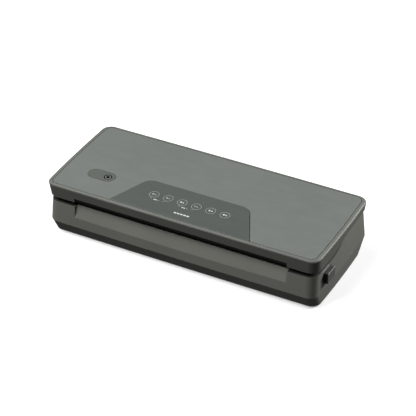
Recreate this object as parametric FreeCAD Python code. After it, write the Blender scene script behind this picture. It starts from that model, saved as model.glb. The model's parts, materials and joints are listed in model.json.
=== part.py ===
import FreeCAD, Part
import math
import os

# Countertop vacuum sealer: hinged lid with a touch panel over a base that holds the
# vacuum chamber, the sealing bar, the pump and two side release buttons.
# Millimetres. +X right, -Y front, +Z up. The values below are laid out with y = 0 at the middle of
# the lid; export() then moves every piece so that the origin is the bottom centre of the whole.

# ---------------------------------------------------------------- driving dimensions
# Outline insets are (side, front, rear), measured from the widest outline of the lid.
WIDTH = 365.0            # lid, side to side
DEPTH = 150.7            # lid, front to rear
LID_TOP = 72.8           # upper face of the lid plate
PANEL_PROUD = 1.0        # control panel above the lid plate
CORNER_R = 12.2          # plan corner radius at the widest outline
SIDE_BOW = 1.5           # how far the short sides bulge in plan
FRONT_BOW = 0.6          # how far the long sides bulge in plan
WALL = 2.5

FOOT_H = 1.2
BELT_Z = 19.0            # crease where the base is widest and splits in two
LOFT_TOP = 60.0          # height at which the base taper is stated
REAR_BULGE = 5.9         # how far the base stands out behind the lid at the belt
BELT_INSET = (1.9, 0.0, -REAR_BULGE)
BASE_TAPER = (3.8, 3.7, -1.0)       # inset of the base at LOFT_TOP
BOTTOM_INSET = (2.7, 9.2, 10.3)     # inset of the underside
LID_SHOULDER_Z = 70.6    # lid outline is widest here
LID_EDGE = ((71.7, 0.4), (72.45, 1.2), (LID_TOP, 2.3))   # rounding of the lid's top edge: z, inset
LID_LOW_Z = 49.0         # height at which the lid taper is stated
LID_TAPER = (2.0, 3.3, 3.3)

DECK_Z = 47.3            # flat front deck
DECK_REAR_Z = 58.2       # raised rear deck
DECK_T = 2.5
DECK_STEP = (-3.0, 14.0)  # front and rear end of the step between the two decks
EDGE_STEP = (-27.0, 25.0)  # where the side walls of the base sweep up
LID_EDGE_STEP = (-33.0, 17.0)  # where the lower edge of the lid sweeps up
LID_EDGE_FRONT = [(-DEPTH, 53.3), (-62.0, 53.3)]   # lower edge of the lid before the sweep, as y, z
LID_EDGE_REAR = [(58.0, 62.2), (76.0, 60.6), (DEPTH, 60.6)]   # and after it
LID_EDGE_Z = (52.4, 62.4)      # ends of the sweep
SLOT_HALF = 142.0        # half width of the bag slot in the front
SLOT_BACK_Y = -68.5      # how deep the lid is cut away over the slot
SLOT_LID_Z = 59.3        # lower edge of the lid over the bag slot
RAMP_DEPTH = 5.75        # how far the bag ramp is set back at deck height
RAMP_LOW_Z = 31.0

HINGE_Y, HINGE_Z = 71.1, 62.4
HINGE_X = 118.0
EAR_W, EAR_R = 10.0, 2.8
KNUCKLE_W, KNUCKLE_R = 6.5, 3.0
PIN_R, PIN_HALF = 1.5, 12.0
PIN_RUN = 0.05           # radial running clearance in the lid knuckles
SIDE_GAP = 0.5

BAR_HALF = 144.0         # sealing bar half length
BAR_Y = (-65.4, -58.6)
STRIP_Y = (-65.0, -59.0)
BAR_TOP = 48.1
BAR_BOTTOM = 41.4
WIRE_HALF_W, WIRE_T = 1.25, 0.3
TAPE_T = 0.25
TROUGH_HALF = 142.0
TROUGH_Y = (-48.0, -14.0)
TROUGH_FLOOR = 35.5
TRAY_X = (-140.0, 120.0)
GASKET_X, GASKET_Y = 152.0, (-53.0, -9.0)   # centre line of both gaskets
GASKET_W, GASKET_R = 5.0, 6.0
GASKET_MEET = 50.0
GASKET_GAP = 0.1
SUCTION_SPOT = (132.0, -31.0)

LINER_X, LINER_Y, LINER_R = 173.6, (-69.7, 2.0), 12.0
LINER_Z = 53.2
LINER_T = 2.0
DOME_X, DOME_Y, DOME_Z = 144.0, (-47.0, -15.0), 62.3   # raised chamber roof in the liner
PLATE_T = 2.0
RIM_W = (5.0, 3.35, 4.2)  # visible rim round the lid plate: side, front, rear
SEAM = 0.8               # groove between rim and plate
PLATE_R = 8.5            # plan corner radius of the plate's bed
SHELF_W, SHELF_T, SHELF_R = 14.0, 3.0, 8.0   # ledge in the lid frame that carries the plate
PANEL_REAR_Y = -12.3
PANEL_FRONT_Y = -71.65
PANEL_FRONT_HALF = 93.2
PANEL_SLOPES = (0.37, 0.485)  # narrowing of the left and right side per mm towards the rear
PANEL_R = 15.0
PANEL_GAP = 0.8
KEY_PITCH = 19.0
KEY_X0 = -50.1
KEY_Y = -38.5
KEY_COUNT = 6
TOUCH_R, TOUCH_WAIST_R, TOUCH_BORE = 4.6, 3.9, 2.4
CONTROL_X, CONTROL_Y, CONTROL_Z = 98.0, (-60.0, -18.0), 64.4
BOARD_T = 1.6
PLATE_POSTS = [(-92.0, -24.0), (92.0, -24.0)]

PORT_X, PORT_Y = -118.8, -30.6
PORT_LENGTH, PORT_R = 17.4, 9.2   # distance between end centres, end radius
PORT_GAP = 0.7
CUP_R, CUP_WALL = 5.2, 1.5        # round recess with the nozzle in its middle
NOZZLE_R, NOZZLE_BORE = 3.6, 2.4
NOZZLE_FOOT = 65.0
PORT_TUBE_LOW = 60.3

BUTTON_Y = (-50.1, -30.1)
BUTTON_Z = (27.8, 41.8)
BUTTON_FACE_X = 184.8
BUTTON_GAP = 0.6
CAP_T = 1.4
STEM_IN_X = 170.0
FLANGE_X, FLANGE_Y, FLANGE_Z = (STEM_IN_X, 175.5), (-52.0, -29.6), (26.0, 43.2)   # keeps the button in
HOOK_X = (160.0, 163.0)
HOOK_Y = (-62.0, -54.0)
HOOK_TIP_Z = 43.1
HOOK_RUN = 0.6           # room round the hook in the slider and bracket
SLIDER_X, SLIDER_Y, SLIDER_Z = (155.5, STEM_IN_X), (-64.0, -36.0), (41.0, 42.7)
SLIDER_WINDOW = (158.8, 167.0)
BRACKET_X, BRACKET_Y, BRACKET_Z = (150.0, 166.5), (-66.3, -34.3), (39.0, 40.9)
SPRING_SEAT_X = (155.0, 157.0)
SPRING_Y, SPRING_Z = -42.5, 34.6
SPRING_R, SPRING_WIRE, SPRING_TURNS = 4.0, 0.4, 6

COVER_FLOOR = 3.4
PUMP_X, PUMP_Y, PUMP_Z = 60.0, 28.0, 28.0
MOTOR_R, MOTOR_HALF = 14.0, 28.0
HEAD_W, HEAD_BASE_Z = 22.0, 12.0
HOSE_R, HOSE_BORE = 4.0, 2.2
HOSE_Z, HOSE_BEND = 11.0, 9.0
BOARD_X, BOARD_Y, BOARD_Z = (-134.0, -92.0), (-8.0, 24.0), 9.0
BOARD_POSTS = [(x, y) for x in (-130.0, -96.0) for y in (-4.0, 20.0)]
SOCKET_X, SOCKET_Z = -75.0, 36.0    # mains inlet in the rear wall
SOCKET_FACE_Y = 79.2
FLANGE_W, FLANGE_H, FLANGE_T = 28.0, 20.0, 2.2
INLET_W, INLET_H = 22.0, 15.0
INLET_PIN_X, INLET_PIN_R = 4.3, 1.2

SCREW_SPOTS = [(165.0, -25.0), (-165.0, -25.0), (140.0, 38.0), (-140.0, 38.0),
               (60.0, -58.0), (-60.0, -58.0)]
FEET = {"front_left": (-150.0, -50.0), "front_right": (150.0, -50.0),
        "rear_left": (-170.5, 28.6), "rear_right": (170.5, 28.6)}
FOOT_R = 7.6
LID_SCREWS = [(s * x, y) for s in (-1, 1) for x, y in ((170.5, -42.0), (170.5, -6.0), (150.0, -67.0))]

parts = {}


# ---------------------------------------------------------------- geometry helpers
def vec(x, y, z):
    return FreeCAD.Vector(x, y, z)


def box(xs, ys, zs):
    """Box between two values on each axis, given in either order."""
    (x0, x1), (y0, y1), (z0, z1) = sorted(xs), sorted(ys), sorted(zs)
    return Part.makeBox(x1 - x0, y1 - y0, z1 - z0, vec(x0, y0, z0))


def soft_box(xs, ys, zs, r, along="Z"):
    """Box with the four edges along one axis rounded."""
    solid = box(xs, ys, zs)
    axis = {"X": vec(1, 0, 0), "Y": vec(0, 1, 0), "Z": vec(0, 0, 1)}[along]
    chosen = [e for e in solid.Edges if abs(e.tangentAt(e.FirstParameter).dot(axis)) > 0.9]
    return solid.makeFillet(r, chosen)


def rod(r, start, direction, length):
    return Part.makeCylinder(r, length, start, direction)


def post(r, x, y, z0, z1):
    return rod(r, vec(x, y, z0), vec(0, 0, 1), z1 - z0)


def cross_prism(points, x0, x1):
    """Prism along X from (y, z) points."""
    ring = [vec(x0, y, z) for y, z in points]
    face = Part.Face(Part.makePolygon(ring + ring[:1]))
    return face.extrude(vec(x1 - x0, 0, 0))


def fuse(shapes):
    shapes = list(shapes)
    return shapes[0].fuse(shapes[1:]).removeSplitter() if len(shapes) > 1 else shapes[0]


def mirrored(shape):
    return shape.mirror(vec(0, 0, 0), vec(1, 0, 0))


def circle_meet(c1, r1, c2, r2, towards):
    """The crossing of two circles that lies nearer to the point towards."""
    dx, dy = c2[0] - c1[0], c2[1] - c1[1]
    gap = math.hypot(dx, dy)
    along = (r1 * r1 - r2 * r2 + gap * gap) / (2 * gap)
    across = math.sqrt(max(r1 * r1 - along * along, 0.0))
    mx, my = c1[0] + along * dx / gap, c1[1] + along * dy / gap
    both = [(mx + s * across * dy / gap, my - s * across * dx / gap) for s in (-1, 1)]
    return min(both, key=lambda p: math.hypot(p[0] - towards[0], p[1] - towards[1]))


def outline(z, side, front, rear, radius=CORNER_R):
    """Closed plan outline at height z: four gently bowed sides and four tangent corners.
    side, front and rear are insets from the widest outline."""
    half = WIDTH / 2 - side
    y_front, y_rear = -DEPTH / 2 + front, DEPTH / 2 - rear
    y_mid = (y_front + y_rear) / 2
    run_y, run_x = (y_rear - y_front) / 2, half
    big_side = (run_y ** 2 + SIDE_BOW ** 2) / (2 * SIDE_BOW)
    big_end = (run_x ** 2 + FRONT_BOW ** 2) / (2 * FRONT_BOW)
    side_c = (half - big_side, y_mid)
    corners = {}
    for name, y_end, end_c in (("front", y_front, (0.0, y_front + big_end)),
                               ("rear", y_rear, (0.0, y_rear - big_end))):
        c = circle_meet(side_c, big_side - radius, end_c, big_end - radius, (half, y_end))
        touch = []
        for big, centre in ((big_side, side_c), (big_end, end_c)):
            ux, uy = c[0] - centre[0], c[1] - centre[1]
            size = math.hypot(ux, uy)
            touch.append((centre[0] + ux / size * big, centre[1] + uy / size * big))
        out = (half - c[0], y_end - c[1])
        size = math.hypot(*out)
        middle = (c[0] + out[0] / size * radius, c[1] + out[1] / size * radius)
        corners[name] = (touch[0], middle, touch[1])

    def arc(a, b, c):
        return Part.Arc(vec(a[0], a[1], z), vec(b[0], b[1], z), vec(c[0], c[1], z)).toShape()

    def flip(p):
        return (-p[0], p[1])

    fs, fm, fe = corners["front"]
    rs, rm, re = corners["rear"]
    edges = [arc(flip(fe), (0, y_front), fe), arc(fe, fm, fs), arc(fs, (half, y_mid), rs),
             arc(rs, rm, re), arc(re, (0, y_rear), flip(re)), arc(flip(re), flip(rm), flip(rs)),
             arc(flip(rs), (-half, y_mid), flip(fs)), arc(flip(fs), flip(fm), flip(fe))]
    return Part.Wire(edges)


def stack(sections):
    """Ruled solid through outlines given as (z, side, front, rear[, radius])."""
    return Part.makeLoft([outline(*s) for s in sections], True, True)


def taper(z, z0, z1, low, high, extra=0.0):
    """Insets at height z between the insets low at z0 and high at z1, plus extra."""
    t = (z - z0) / (z1 - z0)
    return tuple(a + (b - a) * t + extra for a, b in zip(low, high))


def base_inset(z, extra=0.0):
    return taper(z, BELT_Z, LOFT_TOP, BELT_INSET, BASE_TAPER, extra)


def bottom_inset(z, extra=0.0):
    return taper(z, FOOT_H, BELT_Z, BOTTOM_INSET, BELT_INSET, extra)


def lid_inset(z, extra=0.0):
    return taper(z, LID_LOW_Z, LID_SHOULDER_Z, LID_TAPER, (0.0, 0.0, 0.0), extra)


def swept_edge(points_before, step, z_front, z_rear, points_after, close_points):
    """Prism across the whole width whose border follows a wall edge: straight, then a soft
    S-curve between the two y values of step, then straight."""
    x0 = -WIDTH
    a, b = step
    pull = 0.45 * (b - a)
    curve = Part.BezierCurve()
    curve.setPoles([vec(x0, a, z_front), vec(x0, a + pull, z_front),
                    vec(x0, b - pull, z_rear), vec(x0, b, z_rear)])
    before = [vec(x0, y, z) for y, z in points_before] + [vec(x0, a, z_front)]
    after = [vec(x0, b, z_rear)] + [vec(x0, y, z) for y, z in points_after]
    closing = [after[-1]] + [vec(x0, y, z) for y, z in close_points] + [before[0]]
    edges = [Part.makeLine(p, q) for p, q in zip(before, before[1:])]
    edges.append(curve.toShape())
    edges += [Part.makeLine(p, q) for p, q in zip(after, after[1:])]
    edges += [Part.makeLine(p, q) for p, q in zip(closing, closing[1:])]
    return Part.Face(Part.Wire(edges)).extrude(vec(2 * WIDTH, 0, 0))


def ring(half_x, ys, width, z0, z1, r):
    """Rectangular seal on the centre line half_x, ys with rounded corners."""
    grow = width / 2
    outer = soft_box((-half_x - grow, half_x + grow), (ys[0] - grow, ys[1] + grow), (z0, z1), r + grow)
    inner = soft_box((-half_x + grow, half_x - grow), (ys[0] + grow, ys[1] - grow),
                     (z0 - 1, z1 + 1), r - grow)
    return outer.cut(inner)


def stadium(x0, x1, y, r, z0, z1):
    """Upright block with two round ends centred on x0 and x1."""
    middle = box((x0, x1), (y - r, y + r), (z0, z1))
    return fuse([middle, post(r, x0, y, z0, z1), post(r, x1, y, z0, z1)])


def open_pan(xs, ys, zs, wall, r):
    """Tray with rounded corners, open at the top."""
    inner = soft_box((xs[0] + wall, xs[1] - wall), (ys[0] + wall, ys[1] - wall),
                     (zs[0] + wall, zs[1] + 1), r - wall)
    return soft_box(xs, ys, zs, r).cut(inner)


def coil_spring(r, wire_r, turns, start, length, direction):
    """Compression spring with its axis along direction."""
    pitch = (length - 2 * wire_r) / turns
    helix = Part.makeHelix(pitch, pitch * turns, r - wire_r)
    section = Part.Wire(Part.makeCircle(wire_r, vec(r - wire_r, 0, 0), vec(0, 1, 0)))
    solid = Part.Wire(helix).makePipeShell([section], True, True)
    solid.translate(vec(0, 0, wire_r))
    spin = FreeCAD.Rotation(vec(0, 0, 1), direction)
    solid.Placement = FreeCAD.Placement(start, spin).multiply(solid.Placement)
    return solid


def screw(r_head, r_shank, x, y, z_head, length, up):
    """Cross-head screw whose head's outer face is at z_head; up is +1 or -1 for the shank."""
    head_t = 1.6
    way = vec(0, 0, up)
    head = rod(r_head, vec(x, y, z_head), way, head_t)
    shank = rod(r_shank, vec(x, y, z_head + up * head_t), way, length - head_t)
    slots = [box((x - a, x + a), (y - b, y + b), (z_head, z_head + up * 0.8))
             for a, b in ((1.6, 0.35), (0.35, 1.6))]
    return head.fuse(shank).cut(slots)


# ---------------------------------------------------------------- base
def ramp_cutter():
    """Space in front of the bag ramp: set back at deck height, flush lower down."""
    y_top = -DEPTH / 2 + base_inset(DECK_Z)[1] + RAMP_DEPTH
    y_low = -DEPTH / 2 + base_inset(RAMP_LOW_Z)[1]
    slope = (y_top - y_low) / (DECK_Z - RAMP_LOW_Z)
    y_far = y_top + slope * (LOFT_TOP - DECK_Z)
    return cross_prism([(y_low, RAMP_LOW_Z), (y_far, LOFT_TOP), (-DEPTH, LOFT_TOP), (-DEPTH, RAMP_LOW_Z)],
                       -SLOT_HALF, SLOT_HALF)


def base_inside():
    return stack([(BELT_Z, *base_inset(BELT_Z, WALL)), (LOFT_TOP, *base_inset(LOFT_TOP, WALL))])


def base_cavity():
    """Hollow under the deck, leaving material behind the bag ramp."""
    under = DECK_Z - DECK_T
    rear_under = DECK_REAR_Z - DECK_T
    below = cross_prism([(-DEPTH, 0), (-DEPTH, under), (DECK_STEP[0] + 1.5, under),
                         (DECK_STEP[1] + 1.0, rear_under), (DEPTH, rear_under), (DEPTH, 0)],
                        -WIDTH, WIDTH)
    low = RAMP_LOW_Z - WALL - 1.5
    y_low = BAR_Y[0] - 7.5
    y_high = BAR_Y[0] + 0.5
    ramp_back = cross_prism([(-DEPTH, low), (y_low, low), (y_high, under), (y_high, LOFT_TOP + 1),
                             (-DEPTH, LOFT_TOP + 1)], -SLOT_HALF - WALL, SLOT_HALF + WALL)
    return base_inside().common(below).cut(ramp_back)


def base_housing():
    body = stack([(BELT_Z, *BELT_INSET), (LOFT_TOP, *BASE_TAPER)])
    above_edge = swept_edge([(-DEPTH, DECK_Z)], EDGE_STEP, DECK_Z, DECK_REAR_Z, [(DEPTH, DECK_REAR_Z)],
                            [(DEPTH, 2 * LOFT_TOP), (-DEPTH, 2 * LOFT_TOP)])
    sunk_deck = cross_prism([(EDGE_STEP[0], DECK_Z), (DECK_STEP[0], DECK_Z), (DECK_STEP[1], DECK_REAR_Z),
                             (EDGE_STEP[1], DECK_REAR_Z), (EDGE_STEP[1], LOFT_TOP),
                             (EDGE_STEP[0], LOFT_TOP)], -WIDTH, WIDTH).common(base_inside())
    body = body.cut([above_edge, sunk_deck, ramp_cutter(), base_cavity()])
    return body.fuse(base_additions()).cut(base_openings()).removeSplitter()


def boss_top(x, y):
    """Height at which a screw boss ends, inside whatever lies above it."""
    if y > DECK_STEP[1]:
        return DECK_REAR_Z - 1
    if y < BAR_Y[1] + 2 and abs(x) < BAR_HALF:
        return BAR_BOTTOM - 1
    return DECK_Z - 1


def base_additions():
    """Chamber trough, sealing bar channel, inlet pad, screw bosses and hinge ears."""
    trough = box((-TROUGH_HALF - WALL, TROUGH_HALF + WALL), (TROUGH_Y[0] - WALL, TROUGH_Y[1] + WALL),
                 (TROUGH_FLOOR - WALL, DECK_Z))
    channel = box((-BAR_HALF - 3, BAR_HALF + 3), (BAR_Y[0] - 0.8, BAR_Y[1] + 2),
                  (BAR_BOTTOM - 2, DECK_Z))
    inlet_pad = box((SOCKET_X - FLANGE_W / 2 - 1, SOCKET_X + FLANGE_W / 2 + 1),
                    (SOCKET_FACE_Y - FLANGE_T - 2.5, SOCKET_FACE_Y - FLANGE_T),
                    (SOCKET_Z - FLANGE_H / 2 - 1, SOCKET_Z + FLANGE_H / 2 + 1))
    shapes = [trough, channel, inlet_pad]
    for x, y in SCREW_SPOTS:
        shapes.append(post(4.0, x, y, BELT_Z, boss_top(x, y)))
    for s in (-1, 1):
        x0 = s * HINGE_X - EAR_W / 2
        y0, y1 = HINGE_Y - EAR_R, HINGE_Y + EAR_R
        shapes.append(rod(EAR_R, vec(x0, HINGE_Y, HINGE_Z), vec(1, 0, 0), EAR_W))
        shapes.append(cross_prism([(y0, 48), (y1 - 1.4, 48), (y1, 53), (y1, HINGE_Z), (y0, HINGE_Z)],
                                  x0, x0 + EAR_W))
    return shapes


def base_openings():
    trough = soft_box((-TROUGH_HALF, TROUGH_HALF), TROUGH_Y, (TROUGH_FLOOR, LOFT_TOP), 6.0)
    channel = box((-BAR_HALF - 1, BAR_HALF + 1), (BAR_Y[0] - 0.1, BAR_Y[1] + 0.1), (BAR_BOTTOM, LOFT_TOP))
    groove = ring(GASKET_X, GASKET_Y, GASKET_W, DECK_Z - 1, LOFT_TOP, GASKET_R)
    shapes = [trough, channel, groove, post(5.0, *SUCTION_SPOT, 20, 40)]
    for x, y in SCREW_SPOTS:
        shapes.append(post(1.3, x, y, BELT_Z - 1, BELT_Z + 12))
    for s in (-1, 1):
        shapes.append(box((s * (HOOK_X[0] - 5), s * (HOOK_X[1] + 3.4)), (HOOK_Y[0] - 2.2, HOOK_Y[1] + 2.2),
                          (DECK_Z - 4, LOFT_TOP)))
        shapes.append(soft_box((s * (STEM_IN_X + 2), s * WIDTH),
                               (BUTTON_Y[0] - BUTTON_GAP, BUTTON_Y[1] + BUTTON_GAP),
                               (BUTTON_Z[0] - BUTTON_GAP, BUTTON_Z[1] + BUTTON_GAP), 1.4, "X"))
        x = s * HINGE_X
        shapes.append(rod(PIN_R, vec(x - EAR_W, HINGE_Y, HINGE_Z), vec(1, 0, 0), 2 * EAR_W))
    shapes.append(inlet_flange(SOCKET_FACE_Y - FLANGE_T, DEPTH))
    shapes.append(box((SOCKET_X - INLET_W / 2, SOCKET_X + INLET_W / 2), (SOCKET_FACE_Y - 20, DEPTH),
                      (SOCKET_Z - INLET_H / 2, SOCKET_Z + INLET_H / 2)))
    return shapes


def inlet_flange(y0, y1):
    return soft_box((SOCKET_X - FLANGE_W / 2, SOCKET_X + FLANGE_W / 2), (y0, y1),
                    (SOCKET_Z - FLANGE_H / 2, SOCKET_Z + FLANGE_H / 2), 3.0, "Y")


def bottom_cover():
    outer = stack([(FOOT_H, *BOTTOM_INSET), (BELT_Z, *BELT_INSET)])
    hollow = stack([(COVER_FLOOR, *bottom_inset(COVER_FLOOR, WALL)), (BELT_Z, *bottom_inset(BELT_Z, WALL))])
    cover = outer.cut(hollow)
    bosses = [post(4.0, x, y, COVER_FLOOR - 1, BELT_Z) for x, y in SCREW_SPOTS]
    bosses += [post(2.2, x, y, COVER_FLOOR - 1, BOARD_Z) for x, y in BOARD_POSTS]
    cuts = [post(1.7, x, y, 0, BELT_Z + 1) for x, y in SCREW_SPOTS]
    cuts += [post(3.2, x, y, 0, FOOT_H + 3.4) for x, y in SCREW_SPOTS]
    cuts += [post(FOOT_R + 0.4, x, y, 0, FOOT_H + 0.8) for x, y in FEET.values()]
    cuts += [soft_box((x, x + 3), (-38, -14), (0, COVER_FLOOR + 1), 1.4) for x in range(20, 100, 8)]
    return cover.fuse(bosses).cut(cuts).removeSplitter()


def foot(x, y):
    pad = Part.makeCone(FOOT_R - 1, FOOT_R, FOOT_H, vec(x, y, 0))
    return pad.fuse(post(FOOT_R, x, y, FOOT_H, FOOT_H + 0.8))


def sealing_bar():
    bar = box((-BAR_HALF, BAR_HALF), BAR_Y, (BAR_BOTTOM, BAR_TOP))
    return bar.cut(wire_space(BAR_TOP + 1))


def wire_space(top):
    mid = sum(BAR_Y) / 2
    return box((-BAR_HALF, BAR_HALF), (mid - WIRE_HALF_W, mid + WIRE_HALF_W), (BAR_TOP - WIRE_T, top))


def sealing_tape():
    return box((-BAR_HALF, BAR_HALF), (BAR_Y[0] + 0.4, BAR_Y[1] - 0.4), (BAR_TOP, BAR_TOP + TAPE_T))


def drip_tray():
    xs, ys, zs = TRAY_X, (TROUGH_Y[0] + 1, TROUGH_Y[1] - 1), (TROUGH_FLOOR, DECK_Z - 1.5)
    tray = open_pan(xs, ys, zs, 1.4, 5.0)
    grips = [soft_box((x - 9, x + 9), (ys[0] + 1, ys[0] + 4), (zs[1] - 4, zs[1]), 1.0) for x in (-60, 40)]
    ribs = [box((x, x + 1.2), (ys[0] + 1.2, ys[1] - 1.2), (zs[0] + 1, zs[0] + 2.6))
            for x in range(-110, 110, 30)]
    return tray.fuse(grips + ribs).removeSplitter()


def suction_nozzle():
    x, y = SUCTION_SPOT
    tip = Part.makeCone(3.6, 2.8, 4.5, vec(x, y, 40))
    body = fuse([post(5.0, x, y, 30, TROUGH_FLOOR), post(6.5, x, y, TROUGH_FLOOR, 37),
                 post(3.6, x, y, 37, 40), tip, post(3.0, x, y, 24, 30)])
    return body.cut(post(1.5, x, y, 20, 46))


# ---------------------------------------------------------------- pump and electrics
def pump_motor():
    start = vec(PUMP_X - MOTOR_HALF, PUMP_Y, PUMP_Z)
    can = rod(MOTOR_R, start, vec(1, 0, 0), 2 * MOTOR_HALF)
    bands = [rod(MOTOR_R + 1, start + vec(d, 0, 0), vec(1, 0, 0), 1).cut(
        rod(MOTOR_R - 0.6, start + vec(d, 0, 0), vec(1, 0, 0), 1)) for d in (7.0, 2 * MOTOR_HALF - 8)]
    return can.cut(bands)


def pump_head(s):
    """One diaphragm pump head: housing block, valve cover and hose barb."""
    x0 = PUMP_X + s * MOTOR_HALF
    x1 = x0 + s * HEAD_W
    block = soft_box((x0, x1), (PUMP_Y - 14, PUMP_Y + 14), (HEAD_BASE_Z, 38), 3.0, "X")
    crown = post(11.0, (x0 + x1) / 2, PUMP_Y, 38, 43)
    ribs = [post(9.5 - 2 * k, (x0 + x1) / 2, PUMP_Y, 43, 44).cut(
        post(8.7 - 2 * k, (x0 + x1) / 2, PUMP_Y, 42, 45)) for k in range(3)]
    return fuse([block, crown] + ribs)


def pump_bracket():
    x0, x1 = PUMP_X - MOTOR_HALF - HEAD_W, PUMP_X + MOTOR_HALF + HEAD_W
    plate = box((x0, x1), (PUMP_Y - 15, PUMP_Y + 15), (COVER_FLOOR, HEAD_BASE_Z))
    saddle = box((PUMP_X - MOTOR_HALF + 9, PUMP_X + MOTOR_HALF - 9), (PUMP_Y - 15, PUMP_Y + 15),
                 (HEAD_BASE_Z, HEAD_BASE_Z + 9))
    bed = rod(MOTOR_R, vec(x0, PUMP_Y, PUMP_Z), vec(1, 0, 0), x1 - x0)
    pockets = [box((x, x + 14), (PUMP_Y - 12, PUMP_Y + 12), (COVER_FLOOR, HEAD_BASE_Z - 2))
               for x in (x0 + 4, x0 + 22, x0 + 40, x0 + 58, x0 + 76)]
    return fuse([plate, saddle]).cut([bed] + pockets)


def suction_hose():
    """Hose from the chamber nozzle to the right pump head, of straight runs and tangent arcs."""
    x, y = SUCTION_SPOT
    x_head = PUMP_X + MOTOR_HALF + HEAD_W
    bend, low = HOSE_BEND, HOSE_Z
    corner = 1 - math.sqrt(0.5)
    line, arc = Part.makeLine, Part.Arc
    a, b = vec(x, y, 24), vec(x, y, low + bend)
    c, d = vec(x, y + bend, low), vec(x, PUMP_Y - bend, low)
    e, f = vec(x - bend, PUMP_Y, low), vec(x_head, PUMP_Y, low)
    path = Part.Wire([line(a, b),
                      arc(b, vec(x, y + bend * corner, low + bend * corner), c).toShape(),
                      line(c, d),
                      arc(d, vec(x - bend * corner, PUMP_Y - bend * corner, low), e).toShape(),
                      line(e, f)])
    tubes = [path.makePipeShell([Part.Wire(Part.makeCircle(r, a, vec(0, 0, 1)))], True, True)
             for r in (HOSE_R, HOSE_BORE)]
    return tubes[0].cut(tubes[1])


def transformer_core():
    core = box((-84, -46), (10, 44), (COVER_FLOOR, 33))
    windows = [box((x, x + 7), (9, 45), (11, 26)) for x in (-78, -59)]
    return core.cut(windows)


def transformer_coil():
    """Bobbin round the centre limb, filling the two windows and standing out either side."""
    wound = soft_box((-78, -52), (4, 50), (11, 26), 5.0, "Z")
    limb = box((-71, -59), (10, 44), (10, 27))
    return wound.cut(limb)


def main_board():
    board = box(BOARD_X, BOARD_Y, (BOARD_Z, BOARD_Z + BOARD_T))
    return board.cut([post(1.4, x, y, BOARD_Z - 1, BOARD_Z + 3) for x, y in BOARD_POSTS])


def board_parts():
    z = BOARD_Z + BOARD_T
    relay = soft_box((-128, -112), (-3, 9), (z, z + 14), 0.8)
    chip = box((-108, -100), (8, 16), (z, z + 1.5))
    capacitors = [post(4.0, x, 14, z, z + 16) for x in (-124, -114)]
    sockets = [box((x, x + 8), (-7, -2), (z, z + 7)) for x in (-110, -100)]
    return Part.makeCompound([relay, chip] + capacitors + sockets)


def pressure_sensor():
    body = soft_box((150, 164), (2, 16), (COVER_FLOOR, 14), 2.0)
    return fuse([body, post(2.5, 157, 9, 14, 22), post(3.2, 157, 9, 19, 20.2)])


def inlet_socket():
    """Two-pin mains inlet: flange, body behind the wall and a pin cavity with round ends."""
    x, z, face = SOCKET_X, SOCKET_Z, SOCKET_FACE_Y
    body = box((x - INLET_W / 2, x + INLET_W / 2), (face - 19.2, face - FLANGE_T),
               (z - INLET_H / 2, z + INLET_H / 2))
    way = vec(0, 1, 0)
    bottom = face - 14.2
    cavity = [rod(4.2, vec(x + s * INLET_PIN_X, bottom, z), way, 20) for s in (-1, 1)]
    cavity.append(box((x - INLET_PIN_X, x + INLET_PIN_X), (bottom, bottom + 20), (z - 4.2, z + 4.2)))
    pin_holes = [rod(INLET_PIN_R, vec(x + s * INLET_PIN_X, bottom - 11, z), way, 12) for s in (-1, 1)]
    return inlet_flange(face - FLANGE_T, face).fuse(body).cut(cavity + pin_holes)


def inlet_pins():
    pins = []
    tail = SOCKET_FACE_Y - 23.2
    length = 18.8
    for s in (-1, 1):
        x = SOCKET_X + s * INLET_PIN_X
        shank = rod(INLET_PIN_R, vec(x, tail, SOCKET_Z), vec(0, 1, 0), length)
        pins.append(shank.fuse(Part.makeSphere(INLET_PIN_R, vec(x, tail + length, SOCKET_Z))))
    return Part.makeCompound(pins)


# ---------------------------------------------------------------- latches, drawn for the right side
def button_stem():
    stem = soft_box((STEM_IN_X, BUTTON_FACE_X - CAP_T), BUTTON_Y, BUTTON_Z, 1.2, "X")
    stem = stem.fuse(soft_box(FLANGE_X, FLANGE_Y, FLANGE_Z, 1.2, "X"))
    hollow = box((STEM_IN_X + 3, BUTTON_FACE_X), (BUTTON_Y[0] + 2, BUTTON_Y[1] - 2),
                 (BUTTON_Z[0] + 2, BUTTON_Z[1] - 2))
    return stem.cut(hollow).removeSplitter()


def button_cap():
    cap = soft_box((BUTTON_FACE_X - CAP_T, BUTTON_FACE_X), BUTTON_Y, BUTTON_Z, 1.4, "X")
    rim = [e for e in cap.Edges if all(abs(v.X - BUTTON_FACE_X) < 0.01 for v in e.Vertexes)]
    return cap.makeFillet(0.5, rim)


def hook_space(xs, zs):
    """Room that the lid's hook moves in."""
    return box(xs, (HOOK_Y[0] - HOOK_RUN, HOOK_Y[1] + HOOK_RUN), (zs[0] - 1, zs[1] + 1))


def latch_slider():
    plate = box(SLIDER_X, SLIDER_Y, SLIDER_Z)
    slot = box((160, 164), (SPRING_Y - 4, SPRING_Y + 4), (SLIDER_Z[0] - 1, SLIDER_Z[1] + 1))
    return plate.cut([hook_space(SLIDER_WINDOW, SLIDER_Z), slot])


def latch_bracket():
    xs, ys = BRACKET_X, BRACKET_Y
    floor = box(xs, ys, BRACKET_Z)
    wall_z = (BRACKET_Z[1], DECK_Z - DECK_T)
    walls = [box(xs, (ys[0], ys[0] + 2), wall_z), box(xs, (ys[1] - 1.4, ys[1]), wall_z),
             box((xs[0], xs[0] + 1.5), ys, wall_z)]
    seat = box(SPRING_SEAT_X, (SPRING_Y - 6.5, SPRING_Y + 6.5), (SPRING_Z - 5.5, BRACKET_Z[1]))
    hook_way = hook_space((SPRING_SEAT_X[1], xs[1] - 1.5), BRACKET_Z)
    return fuse([floor] + walls + [seat]).cut(hook_way)


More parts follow.
